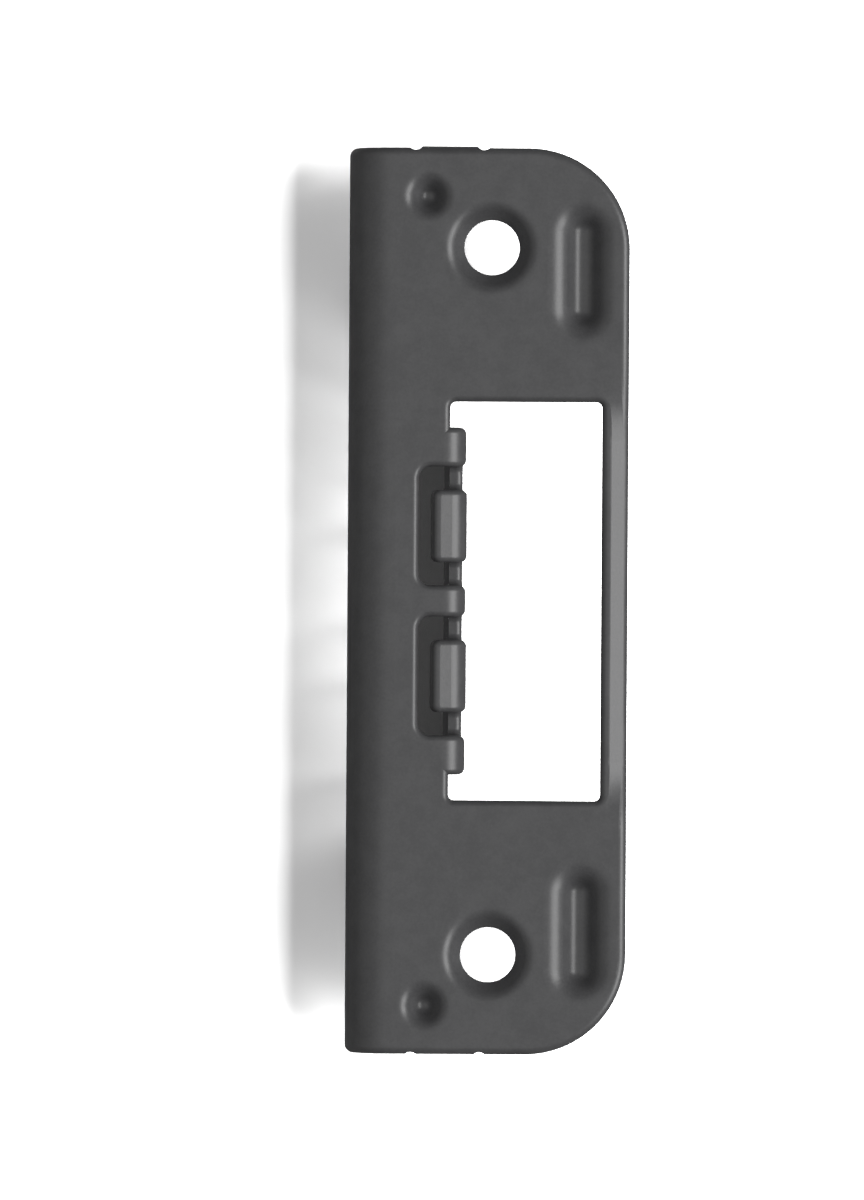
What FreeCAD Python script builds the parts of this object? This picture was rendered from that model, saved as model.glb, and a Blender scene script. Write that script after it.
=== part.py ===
import FreeCAD, Part
import math
import os

# Door strike plate for a latch and a bolt, pressed and folded from one piece of sheet steel.
# Millimetres. X runs across the plate towards its free edge, Y along it, Z out of the visible face.
# The origin is midway between the two screw holes, on the back of the sheet.

# Plate
plate_length = 99.0
plate_width = 30.65
sheet = 1.5
corner_radius = 11.0

# Lip folded back along the left edge
lip_bend_inside = 3.7
lip_straight = 1.3
lip_corner = 1.2

# Screw holes with pressed countersinks
screw_from_lip = 15.6
screw_from_end = 10.85
screw_hole = 6.05
sink_diameter = 9.3
sink_angle = 84.0
sink_rim = 1.7
sink_land = 0.6

# Opening for the latch and the bolt
opening_length = 43.55
opening_corner = 0.65

# Strip between the opening and the free edge, leaning away to the edge
strip_width = 2.9
strip_slope = 24.0
strip_crest_width = 0.8
strip_fall_inside = 4.15
strip_fall_outside = 3.5

# Flange folded back along the left side of the opening, leaning a little away from the bolt
flange_from_lip = 12.92
flange_bend_inside = 1.0
flange_straight = 9.55
flange_lean = 5.3
flange_corner = 1.5
relief_length = 2.8
relief_from_lip = 11.15

# Pockets behind the flange, each with an adjusting tongue that reaches over it
pocket_count = 2
pocket_pitch = 16.4
pocket_length = 13.0
pocket_from_lip = 7.75
pocket_corner = 1.3
slot_width = 2.55
slot_drop = 3.2
slot_corner = 0.8
tongue_from_lip = 9.55
tongue_below = 0.1
tongue_tilt = 18.0
tongue_lean = 14.0
tongue_ease = 5.0
tongue_ease_above_slot = 1.2
tongue_bend_inside = 0.85
tongue_corner = 0.75

# Edges that the punch rounded on the visible side
outer_roll = 0.9
opening_roll = 0.75
pocket_roll = 0.7

# Round dimples near the lip
dimple_from_lip = 8.7
dimple_from_end = 5.3
dimple_diameter = 6.2
dimple_slope = 52.0
dimple_rim = 1.7
dimple_bottom = 1.15
dimple_flat = 0.1

# Long grooves near the free edge
groove_from_edge = 5.0
groove_from_end = 13.4
groove_length = 16.4
groove_width = 8.0
groove_slope = 51.0
groove_rim = 2.8
groove_bottom = 1.5
groove_flat = 0.1

# Places where the plate was cut off its carrier strip: two nicks on each end, a stub on one
stub_from_lip = 10.95
stub_length = 7.5
stub_proud = 0.15
nick_width = 1.2
nick_depth = 0.25

# Two places closer than this are one
tolerance = 0.001

# Heights
top = sheet
lip_bend = lip_bend_inside + sheet
lip_end = top - lip_bend - lip_straight
flange_bend = flange_bend_inside + sheet
flange_top = top - flange_bend
slot_end = flange_top - slot_drop
tongue_bend = tongue_bend_inside + sheet

# Places across the plate
left = -screw_from_lip
right = left + plate_width
opening_right = right - strip_width
crest_start = opening_right - strip_crest_width
fold_start = left + flange_from_lip - flange_bend
relief_left = left + relief_from_lip
pocket_left = left + pocket_from_lip

# Places along the plate
half_length = plate_length / 2
half_opening = opening_length / 2
half_flange = half_opening - relief_length
half_pocket = pocket_length / 2
half_tongue = half_pocket - slot_width
pocket_places = [(i - (pocket_count - 1) / 2) * pocket_pitch for i in range(pocket_count)]

# Angles in radians
lean = math.radians(flange_lean)
out = math.radians(tongue_lean)
tilt = math.radians(tongue_tilt)
strip_fall = math.radians(strip_slope)
dimple_wall = math.radians(dimple_slope)
groove_wall = math.radians(groove_slope)
sink_wall = math.radians(90 - sink_angle / 2)
upright = math.pi / 2


# Drawing in the XZ plane
def vector(x, y, z):
    return FreeCAD.Vector(x, y, z)


def polar(radius, angle):
    return vector(radius * math.cos(angle), 0, radius * math.sin(angle))


def line(start, end):
    return Part.LineSegment(start, end).toShape()


def arc(centre, radius, start_angle, end_angle):
    middle_angle = (start_angle + end_angle) / 2
    start = centre + polar(radius, start_angle)
    middle = centre + polar(radius, middle_angle)
    end = centre + polar(radius, end_angle)
    return Part.Arc(start, middle, end).toShape()


# Solids
def extruded(outline, y_from, y_to):
    face = Part.Face(Part.Wire(outline))
    face.translate(vector(0, y_from, 0))
    return face.extrude(vector(0, y_to - y_from, 0))


def turned(outline):
    return Part.Face(Part.Wire(outline)).revolve(vector(0, 0, 0), vector(0, 0, 1), 360)


def block(x_from, x_to, y_from, y_to, z_from, z_to):
    return Part.makeBox(x_to - x_from, y_to - y_from, z_to - z_from, vector(x_from, y_from, z_from))


def through_block(x_from, x_to, y_from, y_to):
    return block(x_from, x_to, y_from, y_to, lip_end, top + sheet)


# Picking edges to round
def upright_edges(solid, x):
    found = []
    for edge in solid.Edges:
        box = edge.BoundBox
        if box.XLength + box.YLength < tolerance and abs(box.Center.x - x) < tolerance:
            found.append(edge)
    return found


def cross_edges(solid, below):
    # edges square to the plate's length that lie wholly below a height
    found = []
    for edge in solid.Edges:
        box = edge.BoundBox
        if box.YLength < tolerance and box.ZMax < below + tolerance:
            found.append(edge)
    return found


def rolled(solid, place, radius):
    # rounds the whole smooth chain of edges that passes through a place
    vertex = Part.Vertex(place)
    nearest = min(solid.Edges, key=lambda edge: edge.distToShape(vertex)[0])
    return solid.makeFillet(radius, [nearest])


# Hollows pressed into the visible face, drawn from their middle at the level of the face
def bowl_outline(half_width, slope, rim, bottom, flat):
    # a rim arc, an even wall, a bottom arc and half a flat floor that run smoothly into each other
    wall_width = half_width - flat / 2 - (rim + bottom) * math.sin(slope)
    depth = (rim + bottom) * (1 - math.cos(slope)) + wall_width * math.tan(slope)
    face_middle = vector(0, 0, 0)
    rim_centre = vector(half_width, 0, -rim)
    bottom_centre = vector(flat / 2, 0, bottom - depth)
    return [
        line(face_middle, vector(half_width, 0, 0)),
        arc(rim_centre, rim, upright, upright + slope),
        line(rim_centre + polar(rim, upright + slope), bottom_centre + polar(bottom, slope - upright)),
        arc(bottom_centre, bottom, slope - upright, -upright),
        line(vector(flat / 2, 0, -depth), vector(0, 0, -depth)),
        line(vector(0, 0, -depth), face_middle),
    ]


def cone_outline(floor_radius, cone_width, slope, rim):
    # a flat floor, a cone and a rounded rim
    face_middle = vector(0, 0, 0)
    floor_middle = vector(0, 0, -cone_width * math.tan(slope))
    floor_edge = floor_middle + vector(floor_radius, 0, 0)
    rim_start = vector(floor_radius + cone_width + rim * math.tan(slope / 2), 0, 0)
    rim_centre = rim_start - vector(0, 0, rim)
    return [
        line(face_middle, rim_start),
        arc(rim_centre, rim, upright, upright + slope),
        line(rim_centre + polar(rim, upright + slope), floor_edge),
        line(floor_edge, floor_middle),
        line(floor_middle, face_middle),
    ]


def long_form(outline, half_run):
    # the section carried along a straight run with round ends
    face = Part.Face(Part.Wire(outline))
    far_end = face.revolve(vector(0, 0, 0), vector(0, 0, 1), 180).translated(vector(0, half_run, 0))
    near_end = far_end.mirror(vector(0, 0, 0), vector(0, 1, 0))
    right_side = extruded(outline, -half_run, half_run)
    left_side = right_side.mirror(vector(0, 0, 0), vector(1, 0, 0))
    return right_side.fuse([left_side, far_end, near_end]).removeSplitter()


def pressed(solid, hollow, boss, x, y):
    # the boss stands behind the sheet where the hollow sinks into its front
    in_front = hollow.translated(vector(x, y, top))
    behind = boss.translated(vector(x, y, top - sheet))
    return solid.fuse(behind).cut(in_front)


# Strip beside the opening, which leans away from the visible face without growing thinner
def sheet_below(rows):
    # under a smooth face that rows of poles draw
    face = Part.BezierSurface()
    face.increase(len(rows) - 1, len(rows[0]) - 1)
    for u, row in enumerate(rows, 1):
        for v, pole in enumerate(row, 1):
            face.setPole(u, v, pole)
    return face.toShape().extrude(vector(0, 0, -sheet))


def strip_stretch(y_from, y_to, shares):
    # a rounded crest and the slope beside it, which takes its shares of the whole slope on the way
    crest_x = (crest_start + opening_right) / 2
    crest_rows = []
    slope_rows = []
    for i, share in enumerate(shares):
        y = y_from + (y_to - y_from) * i / (len(shares) - 1)
        slope = share * math.tan(strip_fall)
        crest_end = vector(opening_right, y, top - slope * (opening_right - crest_x))
        edge = vector(right, y, top - slope * (right - crest_x))
        crest_rows.append([vector(crest_start, y, top), vector(crest_x, y, top), crest_end])
        slope_rows.append([crest_end, edge])
    return [sheet_below(crest_rows), sheet_below(slope_rows)]


def leaning_strip(plate):
    inside = half_opening - strip_fall_inside
    outside = half_opening + strip_fall_outside
    gap = block(crest_start, right, -outside, outside, lip_end, top + sheet)
    stretches = strip_stretch(-inside, inside, [1, 1])
    for side in (-1, 1):
        stretches += strip_stretch(side * inside, side * outside, [1, 1, 0, 0])
    return plate.cut(gap).fuse(stretches).removeSplitter()


# Plate with its lip, rounded corners and rolled outline
def folded_plate():
    centre = vector(left + lip_bend, 0, top - lip_bend)
    outer_foot = vector(left, 0, lip_end)
    inner_foot = vector(left + sheet, 0, lip_end)
    front_edge = vector(right, 0, top)
    back_edge = vector(right, 0, top - sheet)
    plate = extruded([
        line(front_edge, centre + polar(lip_bend, upright)),
        arc(centre, lip_bend, upright, 2 * upright),
        line(centre + polar(lip_bend, 2 * upright), outer_foot),
        line(outer_foot, inner_foot),
        line(inner_foot, centre + polar(lip_bend_inside, 2 * upright)),
        arc(centre, lip_bend_inside, 2 * upright, upright),
        line(centre + polar(lip_bend_inside, upright), back_edge),
        line(back_edge, front_edge),
    ], -half_length, half_length)
    plate = plate.makeFillet(corner_radius, upright_edges(plate, right))
    plate = plate.makeFillet(lip_corner, cross_edges(plate, lip_end))
    return rolled(leaning_strip(plate), vector(right, half_length - corner_radius, top), outer_roll)


# Openings punched through the flat sheet, up to the line where the flange folds
def opening_cutter():
    cutter = through_block(relief_left, opening_right, -half_opening, half_opening)
    corners = upright_edges(cutter, relief_left) + upright_edges(cutter, opening_right)
    return cutter.makeFillet(opening_corner, corners)


def pocket_cutter(middle):
    cutter = through_block(pocket_left, opening_right, middle - half_pocket, middle + half_pocket)
    return cutter.makeFillet(pocket_corner, upright_edges(cutter, pocket_left))


# Flange: a web below the slots carries the folded lips and the tongues
def web_point(radius, drop):
    # on the web's outer or inner side, a length down the web from the end of the fold
    fold_end = vector(fold_start, 0, flange_top) + polar(radius, -lean)
    return fold_end - vector(drop * math.sin(lean), 0, drop * math.cos(lean))


def web_point_at(radius, z):
    return web_point(radius, (web_point(radius, 0).z - z) / math.cos(lean))


def flange_web():
    outer_start = web_point_at(flange_bend, slot_end)
    inner_start = web_point_at(flange_bend_inside, slot_end)
    outer_foot = web_point(flange_bend, flange_straight)
    inner_foot = web_point(flange_bend_inside, flange_straight)
    web = extruded([
        line(inner_start, outer_start),
        line(outer_start, outer_foot),
        line(outer_foot, inner_foot),
        line(inner_foot, inner_start),
    ], -half_flange, half_flange)
    return web.makeFillet(flange_corner, cross_edges(web, inner_foot.z))


def flange_lip(y_from, y_to):
    # starts in the flat sheet, behind the rolled edge of the opening
    centre = vector(fold_start, 0, flange_top)
    lap = fold_start - 2 * opening_roll
    outer_foot = web_point_at(flange_bend, slot_end)
    inner_foot = web_point_at(flange_bend_inside, slot_end)
    return extruded([
        line(vector(lap, 0, top - sheet), vector(lap, 0, top)),
        line(vector(lap, 0, top), vector(fold_start, 0, top)),
        arc(centre, flange_bend, upright, -lean),
        line(web_point(flange_bend, 0), outer_foot),
        line(outer_foot, inner_foot),
        line(inner_foot, web_point(flange_bend_inside, 0)),
        arc(centre, flange_bend_inside, -lean, upright),
        line(vector(fold_start, 0, top - sheet), vector(lap, 0, top - sheet)),
    ], y_from, y_to)


def tongue(middle):
    # the tongue eases outwards above its slots, then folds over the pocket, its tip higher than its root
    ease_start = slot_drop / math.cos(lean) - tongue_ease_above_slot
    ease_centre = web_point(flange_bend + tongue_ease, ease_start)
    inner_ease = tongue_ease + sheet
    ease_end = ease_centre - polar(tongue_ease, -out)
    tip_top = vector(left + tongue_from_lip, 0, top - tongue_below)
    tip_bottom = tip_top - polar(sheet, upright - tilt)
    run = ease_end.x - tongue_bend * (math.cos(out) - math.sin(tilt)) - tip_top.x
    rise = tip_top.z - ease_end.z - tongue_bend * (math.cos(tilt) + math.sin(out)) - run * math.tan(tilt)
    climb = rise / (math.cos(out) + math.sin(out) * math.tan(tilt))
    centre = ease_end + polar(climb, upright - out) - polar(tongue_bend, -out)
    outer_foot = web_point_at(flange_bend, slot_end)
    inner_foot = web_point_at(flange_bend_inside, slot_end)
    blade = extruded([
        line(tip_top, centre + polar(tongue_bend, upright - tilt)),
        arc(centre, tongue_bend, upright - tilt, -out),
        line(centre + polar(tongue_bend, -out), ease_end),
        arc(ease_centre, tongue_ease, 2 * upright - out, 2 * upright - lean),
        line(ease_centre - polar(tongue_ease, -lean), outer_foot),
        line(outer_foot, inner_foot),
        line(inner_foot, ease_centre - polar(inner_ease, -lean)),
        arc(ease_centre, inner_ease, 2 * upright - lean, 2 * upright - out),
        line(ease_centre - polar(inner_ease, -out), centre + polar(tongue_bend_inside, -out)),
        arc(centre, tongue_bend_inside, -out, upright - tilt),
        line(centre + polar(tongue_bend_inside, upright - tilt), tip_bottom),
        line(tip_bottom, tip_top),
    ], middle - half_tongue, middle + half_tongue)
    tip_corners = []
    for edge in blade.Edges:
        box = edge.BoundBox
        if box.YLength < tolerance and box.XMax < tip_top.x + tolerance:
            tip_corners.append(edge)
    return blade.makeFillet(tongue_corner, tip_corners)


def slot_end_edges(solid):
    found = []
    for edge in solid.Edges:
        box = edge.BoundBox
        if box.YLength + box.ZLength < tolerance and abs(box.Center.z - slot_end) < tolerance:
            found.append(edge)
    return found


def flange():
    parts = []
    lip_start = -half_flange
    for middle in pocket_places:
        parts.append(flange_lip(lip_start, middle - half_pocket))
        parts.append(tongue(middle))
        lip_start = middle + half_pocket
    parts.append(flange_lip(lip_start, half_flange))
    solid = flange_web().fuse(parts).removeSplitter()
    solid = solid.makeFillet(slot_corner, slot_end_edges(solid))
    return rolled(solid, web_point(flange_bend, flange_straight), opening_roll)


# Marks of the carrier strip
def stub():
    half_stub = (stub_length - nick_width) / 2
    middle = left + stub_from_lip
    return block(
        middle - half_stub, middle + half_stub,
        half_length - outer_roll, half_length + stub_proud,
        top - sheet, top - outer_roll,
    )


def nick_cutter(x, side):
    radius = (nick_width ** 2 / 4 + nick_depth ** 2) / (2 * nick_depth)
    y = side * (half_length - nick_depth + radius)
    return Part.makeCylinder(radius, top + sheet - lip_end, vector(x, y, lip_end))


def strike_plate():
    # flat sheet with its lip and openings
    solid = folded_plate().cut(opening_cutter())
    solid = rolled(solid, vector(opening_right, 0, top), opening_roll)
    solid = solid.cut([pocket_cutter(middle) for middle in pocket_places])

    # flange with its tongues, then the rolled edge that runs round each pocket and its tongue
    solid = solid.fuse(flange()).removeSplitter()
    for middle in pocket_places:
        solid = rolled(solid, vector(pocket_left, middle, top), pocket_roll)

    # pressed forms and screw holes at both ends
    dimple = turned(bowl_outline(dimple_diameter / 2, dimple_wall, dimple_rim, dimple_bottom, dimple_flat))
    groove_outline = bowl_outline(groove_width / 2, groove_wall, groove_rim, groove_bottom, groove_flat)
    groove = long_form(groove_outline, (groove_length - groove_width) / 2)
    sink_width = (sink_diameter - screw_hole) / 2
    sink = turned(cone_outline(screw_hole / 2, sink_width, sink_wall, sink_rim))
    sink_boss = turned(cone_outline(screw_hole / 2 + sink_land, sink_width, sink_wall, sink_rim))
    for side in (-1, 1):
        dimple_y = side * (half_length - dimple_from_end)
        groove_y = side * (half_length - groove_from_end)
        screw_y = side * (half_length - screw_from_end)
        solid = pressed(solid, dimple, dimple, left + dimple_from_lip, dimple_y)
        solid = pressed(solid, groove, groove, right - groove_from_edge, groove_y)
        solid = pressed(solid, sink, sink_boss, 0, screw_y)
        hole_foot = vector(0, screw_y, lip_end)
        solid = solid.cut(Part.makeCylinder(screw_hole / 2, top + sheet - lip_end, hole_foot))

    # marks of the carrier strip
    solid = solid.fuse(stub())
    nicks = []
    for side in (-1, 1):
        for end in (-1, 1):
            nicks.append(nick_cutter(left + stub_from_lip + end * stub_length / 2, side))
    return solid.cut(nicks).Solids[0]


os.makedirs("parts", exist_ok=True)
plate = strike_plate()
plate.exportStep("parts/strike_plate.step")
print(f"strike plate: {plate.Volume:.1f} cubic mm, {len(plate.Faces)} faces, valid {plate.isValid()}")
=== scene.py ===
import math

import bpy
from mathutils import Matrix, Vector


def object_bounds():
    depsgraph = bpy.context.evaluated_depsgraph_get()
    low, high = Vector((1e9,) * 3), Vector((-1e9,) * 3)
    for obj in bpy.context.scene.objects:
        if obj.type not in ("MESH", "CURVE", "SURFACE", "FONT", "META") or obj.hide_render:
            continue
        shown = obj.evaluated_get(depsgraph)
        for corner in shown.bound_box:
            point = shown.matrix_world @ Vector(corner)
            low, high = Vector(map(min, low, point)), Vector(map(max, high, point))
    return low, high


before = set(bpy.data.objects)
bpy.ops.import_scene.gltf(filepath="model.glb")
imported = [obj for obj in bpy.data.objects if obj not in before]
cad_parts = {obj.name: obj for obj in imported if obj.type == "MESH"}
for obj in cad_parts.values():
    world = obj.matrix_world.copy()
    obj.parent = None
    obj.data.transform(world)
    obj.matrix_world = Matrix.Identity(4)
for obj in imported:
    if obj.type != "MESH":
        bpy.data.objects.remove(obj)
bpy.context.view_layer.update()
cadLow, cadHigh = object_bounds()
print("frame loaded", sorted(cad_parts))


# a value that goes into a node is a number or another node's output
def feed(tree, socket, value):
    if isinstance(value, bpy.types.NodeSocket):
        tree.links.new(value, socket)
    else:
        socket.default_value = value


def calculate(tree, operation, first, second=0.0):
    node = tree.nodes.new("ShaderNodeMath")
    node.operation = operation
    feed(tree, node.inputs[0], first)
    feed(tree, node.inputs[1], second)
    return node.outputs[0]


def smoothStep(tree, value, start, end, low=0.0, high=1.0):
    node = tree.nodes.new("ShaderNodeMapRange")
    node.interpolation_type = "SMOOTHSTEP"
    names = ("Value", "From Min", "From Max", "To Min", "To Max")
    for name, amount in zip(names, (value, start, end, low, high)):
        feed(tree, node.inputs[name], amount)
    return node.outputs["Result"]


def blend(tree, factor, first, second):
    node = tree.nodes.new("ShaderNodeMix")
    feed(tree, node.inputs["Factor"], factor)
    feed(tree, node.inputs["A"], first)
    feed(tree, node.inputs["B"], second)
    return node.outputs["Result"]


def blendColour(tree, factor, first, second):
    node = tree.nodes.new("ShaderNodeMix")
    node.data_type = "RGBA"
    sockets = [socket for socket in node.inputs if socket.type == "RGBA"]
    feed(tree, node.inputs["Factor"], factor)
    feed(tree, sockets[0], first)
    feed(tree, sockets[1], second)
    return [socket for socket in node.outputs if socket.type == "RGBA"][0]


def noise(tree, place, scale, detail, rough):
    node = tree.nodes.new("ShaderNodeTexNoise")
    tree.links.new(place, node.inputs["Vector"])
    node.inputs["Scale"].default_value = scale
    node.inputs["Detail"].default_value = detail
    node.inputs["Roughness"].default_value = rough
    return node.outputs["Fac"]


# how the photograph sees the plate: straight down, with the plate a little right of the middle
photo = {
    "width": 864,
    "height": 1200,
    "pixelsPerMetre": 9162.0,
    "plateMiddle": (487.45, 600.5),  # where the middle of the plate lies in the picture
    "rollDegrees": 0.37,             # the plate's top leans to the right by this much
    "lens": 400.0,
    "sensor": 36.0,
    "nearest": 0.01,                 # the camera sees from here
    "farthest": 50.0,
}


def makeCamera():
    middle = (cadLow + cadHigh) / 2
    roll = math.radians(photo["rollDegrees"])
    right = Vector((math.cos(roll), math.sin(roll), 0))
    up = Vector((-math.sin(roll), math.cos(roll), 0))
    across = (photo["width"] / 2 - photo["plateMiddle"][0]) / photo["pixelsPerMetre"]
    along = (photo["plateMiddle"][1] - photo["height"] / 2) / photo["pixelsPerMetre"]
    aim = Vector((middle.x, middle.y, cadHigh.z)) + right * across + up * along
    seenHeight = photo["height"] / photo["pixelsPerMetre"]
    distance = seenHeight * photo["lens"] / photo["sensor"]
    data = bpy.data.cameras.new("plateCamera")
    data.lens = photo["lens"]
    data.sensor_width = photo["sensor"]
    data.clip_start = photo["nearest"]
    data.clip_end = photo["farthest"]
    camera = bpy.data.objects.new("plateCamera", data)
    place = Matrix((right, up, Vector((0, 0, 1)))).transposed().to_4x4()
    place.translation = aim + Vector((0, 0, distance))
    camera.matrix_world = place
    bpy.context.scene.collection.objects.link(camera)
    bpy.context.scene.camera = camera


# white floor that the flange stands on
floorLook = {
    "half": 3.0,
    "colour": 0.07,                  # for the light that the floor throws back
    "mirrored": 0.07,                # for the coating's reflections
    "seenLeft": 1.15,                # white for the camera, with painted light on the right: brighter there, washing out shade seen through the holes and opening
    "seenRightPaintedLight": 1.6,
    "seenTurn": (-0.0150, -0.0046),
    "under": 0.42,                   # painted shade: the camera sees the floor darker between lip and flange, where little light comes
    "underMiddle": (-0.009, 0.0),
    "underHalf": (0.0048, 0.016),
    "underSoft": 0.001,
}


def floorSeen(tree):
    place = tree.nodes.new("ShaderNodeTexCoord")
    split = tree.nodes.new("ShaderNodeSeparateXYZ")
    tree.links.new(place.outputs["Object"], split.inputs[0])
    outside = 0.0
    # a soft rectangle of painted shade, where the floor is darker for the camera between lip and flange
    for axis, middle, half in zip("XY", floorLook["underMiddle"], floorLook["underHalf"]):
        away = calculate(tree, "ABSOLUTE", calculate(tree, "SUBTRACT", split.outputs[axis], middle))
        edge = smoothStep(tree, away, half - floorLook["underSoft"], half + floorLook["underSoft"])
        outside = calculate(tree, "MAXIMUM", outside, edge)
    # painted light: the floor the camera sees is brighter right of the turn
    left, right = floorLook["seenLeft"], floorLook["seenRightPaintedLight"]
    seen = smoothStep(tree, split.outputs["X"], *floorLook["seenTurn"], left, right)
    return blend(tree, outside, floorLook["under"], seen)


def makeFloor():
    half, z = floorLook["half"], cadLow.z
    mesh = bpy.data.meshes.new("floor")
    corners = [(-half, -half, z), (half, -half, z), (half, half, z), (-half, half, z)]
    mesh.from_pydata(corners, [], [range(len(corners))])
    floor = bpy.data.objects.new("floor", mesh)
    bpy.context.scene.collection.objects.link(floor)
    material = bpy.data.materials.new("floorWhite")
    material.use_nodes = True
    tree = material.node_tree
    tree.nodes.clear()
    rays = tree.nodes.new("ShaderNodeLightPath")
    straight = calculate(tree, "MAXIMUM", rays.outputs["Is Camera Ray"], rays.outputs["Is Transmission Ray"])
    level = blend(tree, rays.outputs["Is Glossy Ray"], floorLook["colour"], floorLook["mirrored"])
    level = blend(tree, straight, level, floorSeen(tree))
    matt = tree.nodes.new("ShaderNodeBsdfDiffuse")
    tree.links.new(level, matt.inputs["Color"])
    clear = tree.nodes.new("ShaderNodeBsdfTransparent")
    side = tree.nodes.new("ShaderNodeNewGeometry")
    surface = tree.nodes.new("ShaderNodeMixShader")      # from below the floor isn't there
    tree.links.new(side.outputs["Backfacing"], surface.inputs["Fac"])
    tree.links.new(matt.outputs[0], surface.inputs[1])
    tree.links.new(clear.outputs[0], surface.inputs[2])
    out = tree.nodes.new("ShaderNodeOutputMaterial")
    tree.links.new(surface.outputs[0], out.inputs["Surface"])
    mesh.materials.append(material)
    return floor


# long lamps on the right leave the left side of every form dark, and two of them light the floor alone
lamps = {
    "distance": 1.5,
    "leans": (0.20, -0.54),          # how far each lamp stands along the plate, for a height of one
    "far": 71.0,                     # degrees from straight up to the far end of every lamp
    "plate": {"near": 38.0, "width": 0.44, "watts": (12.4, 11.4)},
    "floor": {"near": 34.0, "width": 0.7, "watts": (45.0, 45.0)},
    "back": {"place": (-0.22, 0.15, -0.52), "width": 0.3, "watts": 4.5},
}


def makeLamp(name, near, width, lean, watts, lit):
    near, far = math.radians(near), math.radians(lamps["far"])
    back = Vector((math.tan((near + far) / 2), lean, 1)).normalized()
    side = Vector((0, 1, 0)).cross(back).normalized()    # the lamp's long side lies over the X axis
    data = bpy.data.lights.new(name, "AREA")
    data.shape = "RECTANGLE"
    data.size = 2 * lamps["distance"] * math.tan((far - near) / 2)
    data.size_y = width
    data.energy = watts
    lamp = bpy.data.objects.new(name, data)
    place = Matrix((side, back.cross(side), back)).transposed().to_4x4()
    place.translation = back * lamps["distance"]
    lamp.matrix_world = place
    lamp.visible_camera = False
    lamp.light_linking.receiver_collection = lit
    bpy.context.scene.collection.objects.link(lamp)


# a soft lamp from below on the left, for the plate's back, which the floor doesn't stop
def makeBackLamp(lit):
    back = lamps["back"]
    data = bpy.data.lights.new("backLamp", "AREA")
    data.size = back["width"]
    data.energy = back["watts"]
    lamp = bpy.data.objects.new("backLamp", data)
    lamp.location = back["place"]
    lamp.rotation_euler = (-lamp.location).to_track_quat("-Z", "Y").to_euler()
    lamp.visible_camera = False
    lamp.visible_glossy = False      # or steep faces seen from above would mirror it
    lamp.light_linking.receiver_collection = lit
    lamp.light_linking.blocker_collection = lit
    bpy.context.scene.collection.objects.link(lamp)


def makeLamps(plate, floor):
    for kind, piece in (("plate", plate), ("floor", floor)):
        lit = bpy.data.collections.new(kind + "Lit")
        lit.objects.link(piece)
        for lean, watts in zip(lamps["leans"], lamps[kind]["watts"]):
            makeLamp(kind + "Lamp", lamps[kind]["near"], lamps[kind]["width"], lean, watts, lit)
    makeBackLamp(bpy.data.collections["plateLit"])


# soft light from all round, with a broad patch overhead and one high on the left
room = {
    "colour": (1.0, 1.0, 1.0, 1.0),
    "fill": 0.02,
    "overhead": {"towards": (0.0, 0.0, 1.0), "from": 0.7, "to": 0.97, "strength": 0.60},
    "leftPatch": {"towards": (-0.75, 0.0, 0.66), "from": 0.5, "to": 0.9, "strength": 0.48},
    "mirrored": 0.12,                # the least that the coating's reflections find
    "seen": 1.0,                     # white where the camera looks past the floor
}


def makeRoom():
    world = bpy.data.worlds.new("studio")
    world.use_nodes = True
    tree = world.node_tree
    place = tree.nodes.new("ShaderNodeTexCoord")
    level = room["fill"]
    for patch in (room["overhead"], room["leftPatch"]):
        facing = tree.nodes.new("ShaderNodeVectorMath")
        facing.operation = "DOT_PRODUCT"
        tree.links.new(place.outputs["Generated"], facing.inputs[0])
        facing.inputs[1].default_value = Vector(patch["towards"]).normalized()
        share = smoothStep(tree, facing.outputs["Value"], patch["from"], patch["to"], 0.0, patch["strength"])
        level = calculate(tree, "ADD", level, share)
    rays = tree.nodes.new("ShaderNodeLightPath")
    straight = calculate(tree, "MAXIMUM", rays.outputs["Is Camera Ray"], rays.outputs["Is Transmission Ray"])
    mirrored = calculate(tree, "MULTIPLY", rays.outputs["Is Glossy Ray"], room["mirrored"])
    level = blend(tree, straight, calculate(tree, "MAXIMUM", level, mirrored), room["seen"])
    background = tree.nodes["Background"]
    background.inputs["Color"].default_value = room["colour"]
    tree.links.new(level, background.inputs["Strength"])
    bpy.context.scene.world = world


# satin coating: a dark grey paint with a fine grain, faint clouds, and lighter edges that are partly rubbed
# wear and partly a painted highlight
coating = {
    "dark": (0.058, 0.058, 0.060, 1),
    "light": (0.074, 0.074, 0.076, 1),
    "wearAndHighlight": (0.12, 0.12, 0.12, 1),
    "cloud": {"scale": 420.0, "detail": 3.0, "rough": 0.6},          # scales are per metre
    "grain": {"scale": 3600.0, "detail": 2.0, "rough": 0.5},
    "orange": {"scale": 1300.0, "detail": 1.0, "rough": 0.5},
    "cloudShare": 0.6,               # of the mottle, and the grain has the rest
    "mottleRange": (0.3, 0.7),       # from the dark colour to the light one
    "wearAndHighlightGrain": (0.45, 0.65),     # how much of the grain an edge shows lighter
    "noiseMiddle": 0.5,
    "roughness": 0.38,               # on average, and each noise adds its share round it
    "cloudRoughness": 0.06,
    "grainRoughness": 0.05,
    "grainHeight": 0.000004,         # in metres
    "orangeHeight": 0.000006,
    "bumpScale": 1.0,                # the heights are real ones
    "specular": 0.5,
    "edgeWidth": 0.00025,
    "edgeTurn": (0.004, 0.06),
    "edgeShare": 0.5,
}


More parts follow.
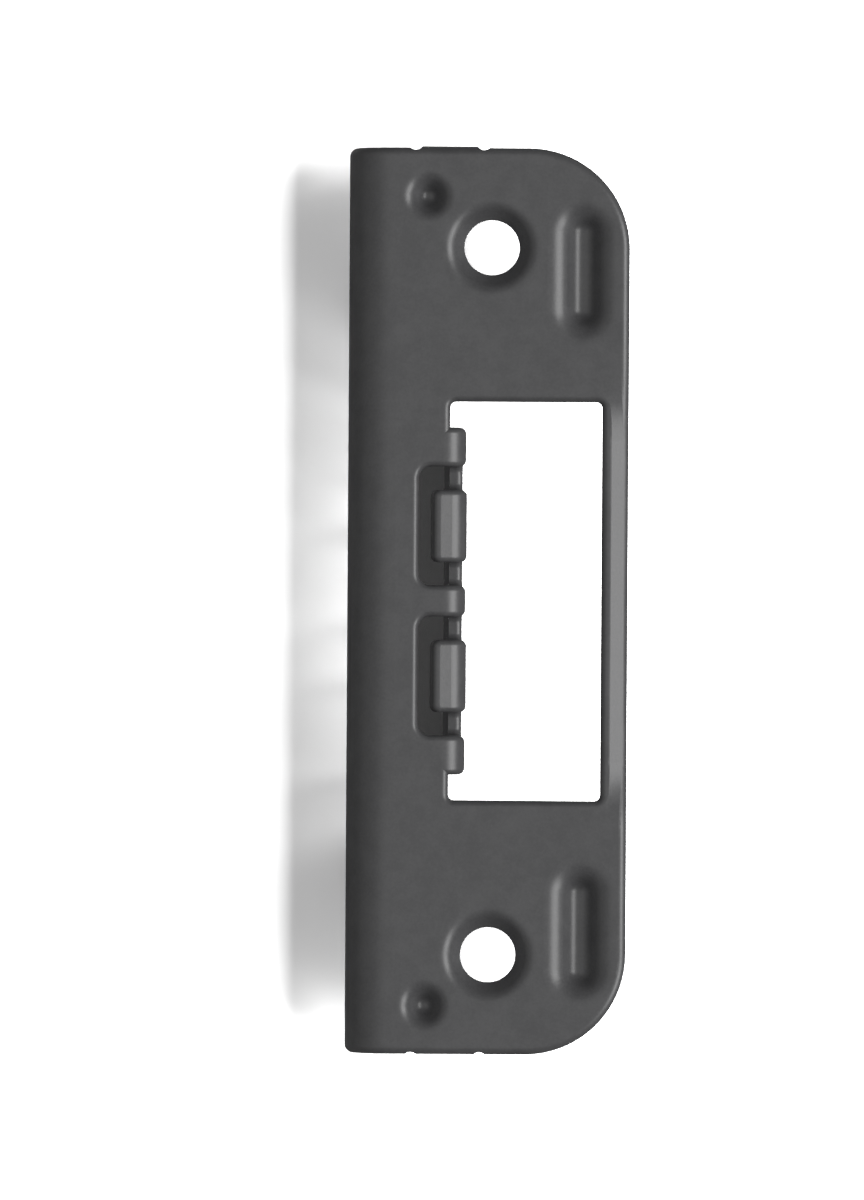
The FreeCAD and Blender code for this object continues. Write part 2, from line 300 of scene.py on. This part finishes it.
def makeCoating():
    material = bpy.data.materials.new("satinCoating")
    material.use_nodes = True
    tree = material.node_tree
    shader = tree.nodes["Principled BSDF"]
    place = tree.nodes.new("ShaderNodeTexCoord").outputs["Object"]
    cloud, grain, orange = (noise(tree, place, **coating[name]) for name in ("cloud", "grain", "orange"))

    geometry = tree.nodes.new("ShaderNodeNewGeometry")
    rounded = tree.nodes.new("ShaderNodeBevel")
    rounded.inputs["Radius"].default_value = coating["edgeWidth"]
    turn = tree.nodes.new("ShaderNodeVectorMath")
    turn.operation = "DOT_PRODUCT"
    tree.links.new(geometry.outputs["Normal"], turn.inputs[0])
    tree.links.new(rounded.outputs["Normal"], turn.inputs[1])
    edge = smoothStep(tree, calculate(tree, "SUBTRACT", 1.0, turn.outputs["Value"]), *coating["edgeTurn"])
    # lighter edges, partly rubbed wear and partly a painted highlight, broken up by the grain
    wearAndHighlight = calculate(tree, "MULTIPLY", edge, smoothStep(tree, grain, *coating["wearAndHighlightGrain"]))
    wearAndHighlight = calculate(tree, "MULTIPLY", wearAndHighlight, coating["edgeShare"])

    mottle = blend(tree, coating["cloudShare"], grain, cloud)
    mottle = smoothStep(tree, mottle, *coating["mottleRange"])
    colour = blendColour(tree, mottle, coating["dark"], coating["light"])
    colour = blendColour(tree, wearAndHighlight, colour, coating["wearAndHighlight"])
    tree.links.new(colour, shader.inputs["Base Color"])

    roughness = calculate(tree, "MULTIPLY_ADD", cloud, coating["cloudRoughness"])
    middle = coating["roughness"] - coating["cloudRoughness"] * coating["noiseMiddle"]
    roughness.node.inputs[2].default_value = middle
    fine = calculate(tree, "SUBTRACT", grain, coating["noiseMiddle"])
    fine = calculate(tree, "MULTIPLY", fine, coating["grainRoughness"])
    tree.links.new(calculate(tree, "ADD", roughness, fine), shader.inputs["Roughness"])
    shader.inputs["Specular IOR Level"].default_value = coating["specular"]

    height = calculate(tree, "MULTIPLY", grain, coating["grainHeight"])
    height = calculate(tree, "ADD", height, calculate(tree, "MULTIPLY", orange, coating["orangeHeight"]))
    bump = tree.nodes.new("ShaderNodeBump")
    bump.inputs["Distance"].default_value = coating["bumpScale"]
    tree.links.new(height, bump.inputs["Height"])
    tree.links.new(bump.outputs["Normal"], shader.inputs["Normal"])
    return material


makeCamera()
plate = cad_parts["strike_plate"]
makeLamps(plate, makeFloor())
makeRoom()
print("studio made")

plate.data.materials.clear()
plate.data.materials.append(makeCoating())
print("plate coated")

bpy.context.scene.view_settings.view_transform = "Standard"
